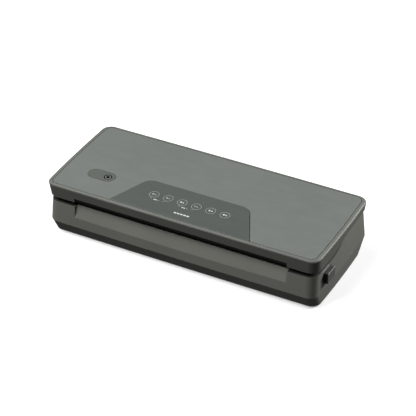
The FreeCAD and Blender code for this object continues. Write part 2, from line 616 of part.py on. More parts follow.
def latch_spring():
    start = SPRING_SEAT_X[1]
    return coil_spring(SPRING_R, SPRING_WIRE, SPRING_TURNS, vec(start, SPRING_Y, SPRING_Z),
                       STEM_IN_X - start, vec(1, 0, 0))


def latch_switch():
    body = box((151, 156.5), (-63, -53), (31, BRACKET_Z[0]))
    legs = [box((153, 154), (y, y + 0.6), (27, 31)) for y in (-62, -58.3, -54.6)]
    return fuse([body] + legs)


def lid_hook():
    flange_z = (LINER_Z + LINER_T, LINER_Z + LINER_T + 2)
    blade = box(HOOK_X, HOOK_Y, (HOOK_TIP_Z, flange_z[1]))
    profile = [(0, 0), (-1.2, 0), (-2.5, 0.8), (-2.5, 1.5), (0, 1.5)]
    points = [vec(HOOK_X[0] + dx, HOOK_Y[0], HOOK_TIP_Z + dz) for dx, dz in profile]
    nose = Part.Face(Part.makePolygon(points + points[:1])).extrude(vec(0, HOOK_Y[1] - HOOK_Y[0], 0))
    flange = box((HOOK_X[0] - 4, HOOK_X[1] + 4), (HOOK_Y[0] - 3, HOOK_Y[1] + 3), flange_z)
    return fuse([blade, nose, flange])


def hinge_pin():
    return rod(PIN_R, vec(HINGE_X - PIN_HALF, HINGE_Y, HINGE_Z), vec(1, 0, 0), 2 * PIN_HALF)


# ---------------------------------------------------------------- lid
def lid_shell():
    rounding = [(z, inset, inset, inset) for z, inset in LID_EDGE]
    return stack([(LID_LOW_Z, *LID_TAPER), (LID_SHOULDER_Z, 0, 0, 0)] + rounding)


def lid_frame():
    plate_bed = LID_TOP - PLATE_T
    shelf_under = plate_bed - SHELF_T
    cavity = stack([(LID_LOW_Z, *lid_inset(LID_LOW_Z, WALL)), (shelf_under, *lid_inset(shelf_under, WALL))])
    window = stack([(shelf_under - 1, SHELF_W, SHELF_W, SHELF_W, SHELF_R),
                    (LID_TOP + 1, SHELF_W, SHELF_W, SHELF_W, SHELF_R)])
    bed = stack([(plate_bed, *RIM_W, PLATE_R), (LID_TOP + 1, *RIM_W, PLATE_R)])
    below = swept_edge(LID_EDGE_FRONT, LID_EDGE_STEP, *LID_EDGE_Z, LID_EDGE_REAR,
                       [(DEPTH, 0), (-DEPTH, 0)])
    slot = box((-SLOT_HALF, SLOT_HALF), (-DEPTH, SLOT_BACK_Y), (0, SLOT_LID_Z))
    frame = lid_shell().cut([cavity, window, bed, below, slot])
    cuts = []
    adds = []
    for s in (-1, 1):
        x = s * HINGE_X
        reach = EAR_W / 2 + SIDE_GAP
        for side in (-1, 1):
            xs = sorted((x + side * reach, x + side * (reach + KNUCKLE_W)))
            adds.append(rod(KNUCKLE_R, vec(xs[0], HINGE_Y, HINGE_Z), vec(1, 0, 0), KNUCKLE_W))
            adds.append(box(xs, (HINGE_Y - KNUCKLE_R, HINGE_Y + 1.4), (HINGE_Z, shelf_under + 1)))
        cuts.append(box((x - reach, x + reach), (HINGE_Y - 4.5, DEPTH), (HINGE_Z - 5, HINGE_Z + 4)))
        cuts.append(rod(PIN_R + PIN_RUN, vec(x - 20, HINGE_Y, HINGE_Z), vec(1, 0, 0), 40))
    adds += [post(3.0, x, y, LINER_Z + LINER_T, shelf_under + 1) for x, y in LID_SCREWS]
    cuts += [post(1.15, x, y, LINER_Z, LINER_Z + 10) for x, y in LID_SCREWS]
    return frame.fuse(adds).cut(cuts).removeSplitter()


def panel_outline(grow, z):
    """Trapezoid with two rounded rear corners, grown by grow on its sides and rear."""
    y0, y1 = PANEL_FRONT_Y, PANEL_REAR_Y + grow

    def half(y, slope):
        return PANEL_FRONT_HALF + grow * math.hypot(1, slope) - slope * (y - PANEL_FRONT_Y)

    left, right = PANEL_SLOPES
    pts = [vec(-half(y0, left), y0, z), vec(half(y0, right), y0, z),
           vec(half(y1, right), y1, z), vec(-half(y1, left), y1, z)]
    return Part.Face(Part.makePolygon(pts + pts[:1]))


def panel_block(grow, z0, z1):
    solid = panel_outline(grow, z0).extrude(vec(0, 0, z1 - z0))
    rear = [e for e in solid.Edges
            if all(v.Y > PANEL_REAR_Y - 1 for v in e.Vertexes) and
            abs(e.tangentAt(e.FirstParameter).z) > 0.9]
    return solid.makeFillet(PANEL_R + grow, rear)


def control_panel():
    top = LID_TOP + PANEL_PROUD
    bed = LID_TOP - PLATE_T
    raised = panel_block(0, bed, top)
    inside_shelf = box((-WIDTH, WIDTH), (SHELF_W + 1.5 - DEPTH / 2, 0), (0, LID_TOP))
    flange = panel_block(3, bed - 1.5, bed).common(inside_shelf)
    roll = cross_prism([(PANEL_FRONT_Y - 1, top - PANEL_PROUD - 0.3), (PANEL_FRONT_Y + 1.2, top - 0.45),
                        (PANEL_FRONT_Y + 3.4, top), (PANEL_FRONT_Y + 3.4, top + 1),
                        (PANEL_FRONT_Y - 1, top + 1)], -WIDTH, WIDTH)
    upper = [e for e in raised.Edges if all(abs(v.Z - top) < 0.01 for v in e.Vertexes)]
    edge = [e for e in upper if any(v.Y > PANEL_FRONT_Y + 0.01 for v in e.Vertexes)]
    return raised.makeFillet(0.35, edge).fuse(flange).cut(roll).removeSplitter()


def lid_top_plate():
    insets = [w + SEAM for w in RIM_W]
    plate = stack([(z, *insets, PLATE_R - SEAM) for z in (LID_TOP - PLATE_T, LID_TOP)])
    gap = PANEL_GAP
    panel_hole = panel_block(gap, LID_TOP - PLATE_T - 1, LID_TOP + 1)
    front_strip = box((-PANEL_FRONT_HALF - gap, PANEL_FRONT_HALF + gap), (-DEPTH, PANEL_FRONT_Y + 0.2),
                      (0, LID_TOP + 1))
    port_hole = stadium(PORT_X - PORT_LENGTH, PORT_X, PORT_Y, PORT_R + PORT_GAP, 0, LID_TOP + 1)
    posts = [post(2.6, x, y, CONTROL_Z + BOARD_T, LID_TOP - PLATE_T) for x, y in PLATE_POSTS]
    return plate.cut([panel_hole, front_strip, port_hole]).fuse(posts).removeSplitter()


def lid_liner():
    """Inner skin of the lid: flat rim, front wall over the slot and a domed chamber roof."""
    z0, z1 = LINER_Z, LINER_Z + LINER_T
    ys = LINER_Y
    plate = soft_box((-LINER_X, LINER_X), ys, (z0, z1), LINER_R)
    front_wall = box((-SLOT_HALF - 3, SLOT_HALF + 3), (ys[0], ys[0] + 2), (z1, z1 + 6))
    dome = soft_box((-DOME_X, DOME_X), DOME_Y, (z0, DOME_Z), 6.0)
    hollow = soft_box((-DOME_X + 2, DOME_X - 2), (DOME_Y[0] + 2, DOME_Y[1] - 2), (z0 - 1, DOME_Z - 2), 4.0)
    groove = ring(GASKET_X, GASKET_Y, GASKET_W, z0 - 1, z0 + 1, GASKET_R)
    strip_bed = box((-BAR_HALF, BAR_HALF), STRIP_Y, (z0 - 1, z0 + 1))
    cuts = [hollow, groove, strip_bed, post(NOZZLE_R, PORT_X, PORT_Y, z0, DOME_Z + 1)]
    for s in (-1, 1):
        cuts.append(box((s * HOOK_X[0], s * HOOK_X[1]), HOOK_Y, (z0 - 1, z1 + 1)))
    cuts += [post(1.5, x, y, z0 - 1, z1 + 1) for x, y in LID_SCREWS]
    cuts += [post(2.6, x, y, z0 - 1, z0 + 1.2) for x, y in LID_SCREWS]
    return fuse([plate, front_wall, dome]).cut(cuts)


def pressure_strip():
    z_low = BAR_TOP + 1.1
    strip = box((-BAR_HALF, BAR_HALF), STRIP_Y, (z_low, LINER_Z + 1))
    lengthwise = [e for e in strip.Edges if abs(e.tangentAt(e.FirstParameter).x) > 0.9]
    return strip.makeFillet(1.5, [e for e in lengthwise if abs(e.Vertexes[0].Z - z_low) < 0.01])


def port_insert():
    """Oval insert with a flange under the plate and a round cup that holds the nozzle."""
    bed = LID_TOP - PLATE_T
    x0 = PORT_X - PORT_LENGTH
    body = stadium(x0, PORT_X, PORT_Y, PORT_R, bed, LID_TOP)
    flange = stadium(x0, PORT_X, PORT_Y, PORT_R + 2, bed - 1.5, bed)
    cup = post(CUP_R + CUP_WALL, PORT_X, PORT_Y, NOZZLE_FOOT, bed)
    inside = post(CUP_R, PORT_X, PORT_Y, NOZZLE_FOOT + CUP_WALL, LID_TOP + 1)
    hole = post(NOZZLE_R, PORT_X, PORT_Y, NOZZLE_FOOT - 1, LID_TOP + 1)
    return fuse([body, flange, cup]).cut([inside, hole])


def port_nozzle():
    tube = post(NOZZLE_R, PORT_X, PORT_Y, NOZZLE_FOOT, LID_TOP - 0.2)
    lip = [e for e in tube.Edges if all(v.Z > LID_TOP - 1 for v in e.Vertexes) and e.Closed]
    return tube.makeFillet(0.5, lip).cut(post(NOZZLE_BORE, PORT_X, PORT_Y, 0, LID_TOP + 1))


def port_tube():
    return post(NOZZLE_R, PORT_X, PORT_Y, PORT_TUBE_LOW, NOZZLE_FOOT).cut(
        post(NOZZLE_BORE, PORT_X, PORT_Y, 0, LID_TOP))


def control_board():
    board = soft_box((-CONTROL_X, CONTROL_X), CONTROL_Y, (CONTROL_Z, CONTROL_Z + BOARD_T), 4.0)
    return board.cut([post(1.4, x, y, CONTROL_Z - 1, LID_TOP) for x, y in PLATE_POSTS])


def key_positions():
    return [(KEY_X0 + k * KEY_PITCH, KEY_Y) for k in range(KEY_COUNT)]


def touch_pads():
    """Waisted conductive foam posts between the board and the underside of the panel, one per key."""
    z0, z1 = CONTROL_Z + BOARD_T, LID_TOP - PLATE_T - 1.5
    middle = (z0 + z1) / 2
    pads = []
    for x, y in key_positions():
        lower = Part.makeCone(TOUCH_R, TOUCH_WAIST_R, middle - z0, vec(x, y, z0))
        upper = Part.makeCone(TOUCH_WAIST_R, TOUCH_R, z1 - middle, vec(x, y, middle))
        pads.append(lower.fuse(upper).cut(post(TOUCH_BORE, x, y, z0 - 1, z1 + 1)))
    return Part.makeCompound(pads)


def led_lights():
    z0, z1 = CONTROL_Z + BOARD_T, LID_TOP - PLATE_T - 1.5
    spots = [(KEY_X0 + (k + 0.5) * KEY_PITCH, KEY_Y - 10) for k in (0, 2)]
    middle = KEY_X0 + (KEY_COUNT - 1) / 2 * KEY_PITCH
    spots += [(middle + 4.4 * k, KEY_Y - 20) for k in range(-2, 3)]
    return Part.makeCompound([soft_box((x - 1.4, x + 1.4), (y - 0.8, y + 0.8), (z0, z1), 0.3)
                              for x, y in spots])


# ---------------------------------------------------------------- fasteners
def bottom_screws():
    return Part.makeCompound([screw(3.0, 1.3, x, y, FOOT_H + 1.8, 22.0, 1) for x, y in SCREW_SPOTS])


def lid_screws():
    return Part.makeCompound([screw(2.5, 1.1, x, y, LINER_Z - 0.4, 10.0, 1) for x, y in LID_SCREWS])


def build():
    parts["base_housing"] = base_housing()
    parts["bottom_cover"] = bottom_cover()
    parts["sealing_bar"] = sealing_bar()
    parts["heating_wire"] = wire_space(BAR_TOP)
    parts["sealing_tape"] = sealing_tape()
    parts["lower_gasket"] = ring(GASKET_X, GASKET_Y, GASKET_W, DECK_Z - 1, GASKET_MEET, GASKET_R)
    parts["upper_gasket"] = ring(GASKET_X, GASKET_Y, GASKET_W, GASKET_MEET + GASKET_GAP, LINER_Z + 1,
                                 GASKET_R)
    parts["drip_tray"] = drip_tray()
    parts["suction_nozzle"] = suction_nozzle()
    parts["suction_hose"] = suction_hose()
    parts["pump_motor"] = pump_motor()
    parts["pump_head_left"] = pump_head(-1)
    parts["pump_head_right"] = pump_head(1)
    parts["pump_bracket"] = pump_bracket()
    parts["transformer_core"] = transformer_core()
    parts["transformer_coil"] = transformer_coil()
    parts["main_board"] = main_board()
    parts["board_parts"] = board_parts()
    parts["pressure_sensor"] = pressure_sensor()
    parts["inlet_socket"] = inlet_socket()
    parts["inlet_pins"] = inlet_pins()
    parts["bottom_screws"] = bottom_screws()
    for name, (x, y) in FEET.items():
        parts["foot_" + name] = foot(x, y)
    for name, make in (("latch_bracket", latch_bracket), ("latch_spring", latch_spring),
                       ("latch_switch", latch_switch), ("hinge_pin", hinge_pin),
                       ("button_stem", button_stem), ("button_cap", button_cap),
                       ("latch_slider", latch_slider), ("lid_hook", lid_hook)):
        right = make()
        parts[name + "_right"] = right
        parts[name + "_left"] = mirrored(right)
    parts["lid_frame"] = lid_frame()
    parts["lid_top_plate"] = lid_top_plate()
    parts["control_panel"] = control_panel()
    parts["lid_liner"] = lid_liner()
    parts["pressure_strip"] = pressure_strip()
    parts["port_insert"] = port_insert()
    parts["port_nozzle"] = port_nozzle()
    parts["port_tube"] = port_tube()
    parts["control_board"] = control_board()
    parts["touch_pads"] = touch_pads()
    parts["led_lights"] = led_lights()
    parts["lid_screws"] = lid_screws()


def export():
    os.makedirs("parts", exist_ok=True)
    to_centre = vec(0, -REAR_BULGE / 2, 0)
    for name, shape in parts.items():
        placed = shape.translated(to_centre)
        placed.exportStep("parts/" + name + ".step")
        print(f"{name:20s} {len(placed.Solids)} solids, valid {placed.isValid()}, {placed.Volume:.1f} mm3")


build()
export()
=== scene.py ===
import json
import math
import bmesh
import bpy
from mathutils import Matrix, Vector


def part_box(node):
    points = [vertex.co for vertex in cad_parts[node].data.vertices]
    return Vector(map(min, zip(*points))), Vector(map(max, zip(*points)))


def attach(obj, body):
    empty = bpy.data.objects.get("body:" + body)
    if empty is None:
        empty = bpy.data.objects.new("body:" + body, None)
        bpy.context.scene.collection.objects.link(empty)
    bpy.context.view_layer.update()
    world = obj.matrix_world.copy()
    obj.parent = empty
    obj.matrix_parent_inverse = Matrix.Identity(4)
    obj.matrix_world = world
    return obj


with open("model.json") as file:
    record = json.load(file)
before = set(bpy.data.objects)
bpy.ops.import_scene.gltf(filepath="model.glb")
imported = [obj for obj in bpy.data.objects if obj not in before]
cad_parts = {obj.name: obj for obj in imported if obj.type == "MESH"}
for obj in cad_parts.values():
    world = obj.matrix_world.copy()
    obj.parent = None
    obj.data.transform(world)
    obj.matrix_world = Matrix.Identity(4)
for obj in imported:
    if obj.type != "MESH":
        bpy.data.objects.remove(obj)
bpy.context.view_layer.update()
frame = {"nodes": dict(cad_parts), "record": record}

# Vacuum sealer: the imported solids get their finishes here. The printed marks on the touch panel and
# the hose port, and dark foam strips that stand as painted shade in the lid's grooves, are added as
# thin pieces. Lengths are in metres, except where a name or a comment says millimetres.

MM = 0.001
NODES = frame["nodes"]

# ------------------------------------------------------------------ camera and light values
CAMERA_AZIMUTH, CAMERA_ELEVATION = 27.468, 34.659   # degrees
CAMERA_DISTANCE = 2.1486
CAMERA_LENS, SENSOR = 152.75, 36.0
CAMERA_TARGET = Vector((0.0, -0.00293, 0.030))
CAMERA_SLIDE = (0.00212, 0.01325)                   # along the view's right and up
CAMERA_CLIP = (0.05, 50.0)
WORLD_STRENGTH = 0.11
# Name, place, the point that it looks at, width and height, and power in watts.
LIGHTS = (
    ("key_softbox", (-0.50, -0.62, 1.27), (0.0, 0.0, 0.0), (0.9, 0.6), 35.5),
    ("right_softbox", (1.10, 1.25, 0.90), (0.0, 0.0, 0.03), (0.8, 0.7), 63.0),
    ("left_fill", (-1.5, 0.4, 0.9), (0.0, 0.0, 0.03), (0.9, 0.8), 8.5),
)
WHITE = (1.0, 1.0, 1.0, 1.0)

# The floor's glow rises from FLOOR_GLOW near the object to 1 further out, so that it stays white.
FLOOR_HALF, FLOOR_DROP = 6.0, 0.0002
FLOOR_GLOW, GLOW_RANGE = 0.31, (0.5, 2.5)
FLOOR_TONES = ((0.56, 0.56, 0.56, 1), (0.58, 0.58, 0.58, 1))
FLOOR_PATCH_MM, FLOOR_ROUGH, FLOOR_SPECULAR = 400, 0.9, 0.1

# ------------------------------------------------------------------ colours, as seen in sRGB
LID_GREY = (88, 92, 89)
PANEL_GREY = (61, 65, 62)
PORT_GREY = (66, 70, 65)
BODY_DARK = (92, 93, 87)
RIM_DARK = (78, 79, 74)
COVER_DARK = (86, 87, 82)
BUTTON_GREY = (70, 71, 68)
MATT_BLACK = (20, 20, 19)
RUBBER_BLACK = (16, 16, 16)
CASE_BLACK = (34, 34, 40)
PRINT_BRIGHT = (164, 167, 162)
PRINT_SOFT = (128, 132, 129)
PRINT_FAINT = (52, 55, 52)
SILICONE = (196, 194, 184)
# TAPE_BROWN is the coated tape's brown, darkened as painted shade so that the slot under the lid
# reads dark.
TAPE_BROWN = (66, 48, 30)
NICKEL = (170, 168, 162)
ZINC = (150, 152, 152)
COPPER = (150, 84, 44)
COPPER_SHADE = (96, 46, 20)
BRASS = (196, 176, 120)
BOARD_GREEN = (22, 84, 48)
TRACK_GREEN = (58, 124, 70)
LENS_WHITE = (216, 216, 206)


def linear(srgb):
    """sRGB bytes to a linear RGBA colour."""
    shares = [byte / 255 for byte in srgb]
    return (*(c / 12.92 if c <= 0.04045 else ((c + 0.055) / 1.055) ** 2.4 for c in shares), 1.0)


def shade(colour, factor, lift=0.0):
    """A linear colour made darker or paler."""
    return (*(min(1.0, c * factor + lift) for c in colour[:3]), 1.0)


# ------------------------------------------------------------------ material nodes
EDGE_TURN = (0.02, 0.30)    # how far a rounded edge's normal turns, from no wear to full wear
NOISE_RANGE = (0.3, 0.7)    # the values that a noise mostly has
WAVE_RATE = 20              # the wave texture runs this many radians per unit at scale 1


class Nodes:
    """A material's node tree with short calls for the nodes used here."""

    def __init__(self, name):
        self.material = bpy.data.materials.new(name)
        self.material.use_nodes = True
        self.tree = self.material.node_tree
        self.shader = self.tree.nodes["Principled BSDF"]
        self.place = self.add("ShaderNodeTexCoord").outputs["Object"]

    def add(self, kind, **settings):
        node = self.tree.nodes.new(kind)
        for key, value in settings.items():
            setattr(node, key, value)
        return node

    def link(self, source, target):
        self.tree.links.new(source, target)

    def feed(self, name, source):
        """Link a socket to the shader's input of that name."""
        self.link(source, self.shader.inputs[name])

    def fix(self, name, value):
        """Give the shader's input of that name one value all over the surface."""
        self.shader.inputs[name].default_value = value

    def noise(self, size_mm, detail=2.0, rough=0.5, place=None):
        """Noise value whose features are about size_mm across."""
        node = self.add("ShaderNodeTexNoise")
        node.inputs["Scale"].default_value = 1000.0 / size_mm
        node.inputs["Detail"].default_value = detail
        node.inputs["Roughness"].default_value = rough
        self.link(place or self.place, node.inputs["Vector"])
        return node.outputs["Fac"]

    def voronoi(self, size_mm, feature="F1"):
        """Distance value of cells about size_mm across."""
        node = self.add("ShaderNodeTexVoronoi", feature=feature)
        node.inputs["Scale"].default_value = 1000.0 / size_mm
        self.link(self.place, node.inputs["Vector"])
        return node.outputs["Distance"]

    def bands(self, axis, size_mm, distortion=0.0):
        """Soft bands across one axis, which repeat every 2 pi times size_mm."""
        node = self.add("ShaderNodeTexWave", wave_type="BANDS", bands_direction=axis,
                        wave_profile="SIN")
        node.inputs["Scale"].default_value = 1000.0 / size_mm / WAVE_RATE
        node.inputs["Distortion"].default_value = distortion
        self.link(self.place, node.inputs["Vector"])
        return node.outputs["Fac"]

    def stretched(self, sx, sy, sz):
        """Object coordinates times a factor on each axis; a larger one squeezes the pattern."""
        node = self.add("ShaderNodeMapping")
        node.inputs["Scale"].default_value = (sx, sy, sz)
        self.link(self.place, node.inputs["Vector"])
        return node.outputs["Vector"]

    def axes(self, vector):
        """The x, y and z sockets of a vector."""
        node = self.add("ShaderNodeSeparateXYZ")
        self.link(vector, node.inputs["Vector"])
        return [node.outputs[axis] for axis in "XYZ"]

    def geometry_normal(self):
        return self.add("ShaderNodeNewGeometry").outputs["Normal"]

    def spread(self, value, low, high, out_low, out_high):
        """Map a value from one range to another, clamped."""
        node = self.add("ShaderNodeMapRange")
        for name, number in zip(("From Min", "From Max", "To Min", "To Max"),
                                (low, high, out_low, out_high)):
            node.inputs[name].default_value = number
        self.link(value, node.inputs["Value"])
        return node.outputs["Result"]

    def drift(self, noise, out_low, out_high):
        """Map a noise value from its usual range to another, clamped."""
        return self.spread(noise, *NOISE_RANGE, out_low, out_high)

    def maths(self, operation, a, b=0.0):
        node = self.add("ShaderNodeMath", operation=operation)
        for k, value in enumerate((a, b)):
            if isinstance(value, (int, float)):
                node.inputs[k].default_value = value
            else:
                self.link(value, node.inputs[k])
        return node.outputs["Value"]

    def reach(self, a, b):
        """Length of the flat vector (a, b)."""
        squares = [self.maths("MULTIPLY", value, value) for value in (a, b)]
        return self.maths("SQRT", self.maths("ADD", *squares))

    def mix(self, factor, a, b):
        """Blend two colours, each a colour value or a socket."""
        node = self.add("ShaderNodeMix", data_type="RGBA")
        self.link(factor, node.inputs["Factor"])
        for socket, value in ((node.inputs[6], a), (node.inputs[7], b)):
            if isinstance(value, tuple):
                socket.default_value = value
            else:
                self.link(value, socket)
        return node.outputs[2]

    def edge_mask(self, radius_mm):
        """1 on outer edges within about radius_mm, 0 on flat faces."""
        bevel = self.add("ShaderNodeBevel", samples=4)
        bevel.inputs["Radius"].default_value = radius_mm * MM
        dot = self.add("ShaderNodeVectorMath", operation="DOT_PRODUCT")
        self.link(bevel.outputs["Normal"], dot.inputs[0])
        self.link(self.geometry_normal(), dot.inputs[1])
        turned = self.maths("SUBTRACT", 1.0, dot.outputs["Value"])
        return self.spread(turned, *EDGE_TURN, 0.0, 1.0)

    def bump(self, *layers):
        """Chain of bumps, each a height socket, its depth in mm and its strength."""
        normal = None
        for height, depth_mm, strength in layers:
            node = self.add("ShaderNodeBump")
            node.inputs["Distance"].default_value = depth_mm * MM
            node.inputs["Strength"].default_value = strength
            self.link(height, node.inputs["Height"])
            if normal is not None:
                self.link(normal, node.inputs["Normal"])
            normal = node.outputs["Normal"]
        self.feed("Normal", normal)


# ------------------------------------------------------------------ painted shade: where the base's deck and the port's cup turn black
# The rim of the base: half its width at RIM_BASE_Z, front and rear, corner radius, and how wide it
# shows beside the deck. The side walls lean in with height and bow out towards the middle.
# Painted shade: the deck inside the rim, and up-facing faces above the lowest deck, are painted
# black.
RIM_HALF_X, RIM_BASE_Z = 0.17796, 0.0473
RIM_FRONT_Y, RIM_REAR_Y = -0.0752, 0.0732
RIM_CORNER, RIM_WIDTH = 0.0125, 0.0006
RIM_LEAN = 0.046                             # metres in for each metre up
RIM_BOW, RIM_BOW_FALL = 0.0013, 175.0        # bow at the middle, and its fall with y squared
SLOT_HALF_X, SLOT_BACK_Y = 0.1425, -0.0697   # the bag ramp under the slot keeps the body's colour
DECK_LOW_Z, DECK_FACING = 0.0405, 0.75       # lowest deck, and least upward normal of a deck face

# Painted shade: the port's cup is painted black from CUP_START below its top down.
CUP_RADIUS, CUP_START = 5.25 * MM, 0.25 * MM  # the port's cup, which starts this far below its top


def painted_deck_shade(n):
    """Painted shade mask: 1 on the base's deck inside its outer rim and on faces that look up, above
    the lowest deck, which are painted black as the shade in the gap under the lid; 0 on the outer
    walls and the bag ramp.
    """
    x, y, z = n.axes(n.place)
    half_x = n.maths("ABSOLUTE", x)
    lean = n.maths("MULTIPLY", n.maths("SUBTRACT", z, RIM_BASE_Z), RIM_LEAN)
    fall = n.maths("MULTIPLY", n.maths("MULTIPLY", y, y), RIM_BOW_FALL)
    bow = n.maths("MULTIPLY", n.maths("SUBTRACT", 1.0, fall), RIM_BOW)
    side = n.maths("SUBTRACT", n.maths("ADD", half_x, lean),
                   n.maths("ADD", bow, RIM_HALF_X - RIM_CORNER))
    end = n.maths("MAXIMUM", n.maths("SUBTRACT", RIM_FRONT_Y + RIM_CORNER, y),
                  n.maths("SUBTRACT", y, RIM_REAR_Y - RIM_CORNER))
    reach = n.reach(n.maths("MAXIMUM", side, 0.0), n.maths("MAXIMUM", end, 0.0))
    up = n.axes(n.geometry_normal())[2]
    mask = n.maths("MAXIMUM", n.maths("LESS_THAN", reach, RIM_CORNER - RIM_WIDTH),
                   n.maths("GREATER_THAN", up, DECK_FACING))
    beside_slot = n.maths("MAXIMUM", n.maths("GREATER_THAN", half_x, SLOT_HALF_X),
                          n.maths("GREATER_THAN", y, SLOT_BACK_Y))
    mask = n.maths("MULTIPLY", mask, beside_slot)
    return n.maths("MULTIPLY", mask, n.maths("GREATER_THAN", z, DECK_LOW_Z))


def painted_cup_shade(n):
    """Painted shade mask: 1 inside the round cup of the hose port, painted black as the shade in the
    hole.
    """
    low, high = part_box("port_nozzle")
    middle = (low + high) / 2
    x, y, z = n.axes(n.place)
    reach = n.reach(n.maths("SUBTRACT", x, middle.x), n.maths("SUBTRACT", y, middle.y))
    return n.maths("MULTIPLY", n.maths("LESS_THAN", reach, CUP_RADIUS),
                   n.maths("LESS_THAN", z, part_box("port_insert")[1].z - CUP_START))


# ------------------------------------------------------------------ finishes
TONE_MM, PATCH_MM, SMEAR_MM = 90, 14, 30    # sizes of tone drift, wear patches and rub marks
WEAR_REACH_MM, WEAR_POLISH = 0.7, 0.10      # how far from an edge, and how much smoother
ROUGH_DRIFT, BLACK_ROUGHER = 0.06, 0.22


def moulded(name, colour, rough, grain_mm, grain_depth_mm, vary, wear, metallic=0.0, specular=0.5,
            black_where=None):
    """Moulded plastic, rubber or ink: tone drifts over the part, fine spark-erosion grain, softened
    and slightly paler edges, scattered dust and rub marks in the roughness, and painted shade in
    matt black where the given mask marks it."""
    n = Nodes(name)
    base = linear(colour)
    patch = n.noise(PATCH_MM, 4.0, 0.6)
    fleck = n.noise(grain_mm, 2.0, 0.7)
    drifting = n.mix(n.drift(n.noise(TONE_MM, 3.0), 0.0, 1.0),
                     shade(base, 1 - vary), shade(base, 1 + vary))
    edge = n.maths("MULTIPLY", n.edge_mask(WEAR_REACH_MM), n.spread(patch, 0.35, 0.75, 0.25, 1.0))
    worn = n.mix(n.maths("MULTIPLY", edge, min(1.0, 4 * wear)), drifting,
                 shade(base, 1 + 3.0 * wear, 0.01 * wear))
    flecked = n.mix(n.drift(fleck, 0.0, 0.10), worn, shade(base, 0.6))
    smear = n.noise(SMEAR_MM, 5.0, 0.65, n.stretched(1.0, 2.4, 1.6))
    roughness = n.drift(smear, max(0.05, rough - ROUGH_DRIFT), min(1.0, rough + ROUGH_DRIFT))
    roughness = n.maths("SUBTRACT", roughness, n.maths("MULTIPLY", edge, WEAR_POLISH))
    # Painted shade: matt black, and rougher, where the mask marks shade.
    if black_where:
        black = black_where(n)
        flecked = n.mix(black, flecked, linear(MATT_BLACK))
        roughness = n.maths("ADD", roughness, n.maths("MULTIPLY", black, BLACK_ROUGHER))
    n.feed("Base Color", flecked)
    n.feed("Roughness", roughness)
    n.fix("Metallic", metallic)
    n.fix("Specular IOR Level", specular)
    n.bump((fleck, grain_depth_mm, 0.55))
    return n.material


def metal(name, colour, rough, brush=(1.0, 30.0, 30.0)):
    """Plated or drawn metal with fine directional lines, stains and brighter rubbed edges."""
    n = Nodes(name)
    base = linear(colour)
    lines = n.noise(6.0, 3.0, 0.7, n.stretched(*brush))
    stain = n.noise(9, 4.0, 0.6)
    stained = n.mix(n.spread(stain, 0.35, 0.75, 0.0, 1.0), base, shade(base, 0.84))
    n.feed("Base Color", n.mix(n.edge_mask(0.4), stained, shade(base, 1.3)))
    n.feed("Roughness", n.spread(lines, 0.25, 0.75, max(0.05, rough - 0.10), rough + 0.12))
    n.fix("Metallic", 1.0)
    n.bump((lines, 0.010, 0.5))
    return n.material


def woven_tape(name):
    """Coated glass cloth: brown tone, square weave, thin creases along its length."""
    n = Nodes(name)
    base = linear(TAPE_BROWN)
    darker = shade(base, 0.62)
    weave = n.maths("MAXIMUM", n.bands("X", 0.9), n.bands("Y", 0.9))
    stain = n.noise(22, 4.0, 0.6, n.stretched(0.5, 3.0, 1.0))
    creases = n.noise(5, 3.0, 0.6, n.stretched(0.1, 1.0, 1.0))
    stained = n.mix(n.spread(stain, 0.35, 0.70, 0.0, 1.0), base, darker)
    n.feed("Base Color", n.mix(n.spread(weave, 0.2, 0.9, 0.35, 0.0), stained, darker))
    n.feed("Roughness", n.drift(stain, 0.32, 0.52))
    n.fix("Sheen Weight", 0.1)
    n.bump((weave, 0.04, 0.6), (creases, 0.05, 0.4))
    return n.material


def foam(name):
    """Closed-cell foam rubber: tiny open cells on the cut faces, soft sheen."""
    n = Nodes(name)
    base = linear(RUBBER_BLACK)
    paler = shade(base, 1.9, 0.004)
    cells = n.voronoi(0.35)
    patch = n.noise(12, 3.0)
    patched = n.mix(n.drift(patch, 0.0, 0.5), base, paler)
    n.feed("Base Color", n.mix(n.spread(cells, 0.15, 0.6, 0.0, 0.5), patched, paler))
    n.feed("Roughness", n.drift(patch, 0.72, 0.90))
    n.fix("Sheen Weight", 0.15)
    n.bump((cells, 0.10, 0.7))
    return n.material


def winding(name):
    """Layers of enamelled copper wire under a clear coat."""
    n = Nodes(name)
    wires = n.bands("Z", 0.8, 0.6)
    n.feed("Base Color", n.mix(wires, linear(COPPER_SHADE), linear(COPPER)))
    n.feed("Roughness", n.drift(n.noise(7, 3.0), 0.25, 0.45))
    n.fix("Coat Weight", 0.4)
    n.bump((wires, 0.20, 0.8))
    return n.material


def circuit(name):
    """Green solder mask over faint copper tracks."""
    n = Nodes(name)
    tracks = n.spread(n.voronoi(4.0, "DISTANCE_TO_EDGE"), 0.02, 0.05, 1.0, 0.0)
    n.feed("Base Color", n.mix(tracks, linear(BOARD_GREEN), linear(TRACK_GREEN)))
    n.feed("Roughness", n.drift(n.noise(8, 3.0), 0.28, 0.42))
    n.bump((tracks, 0.03, 0.6), (n.noise(0.8), 0.01, 0.4))
    return n.material


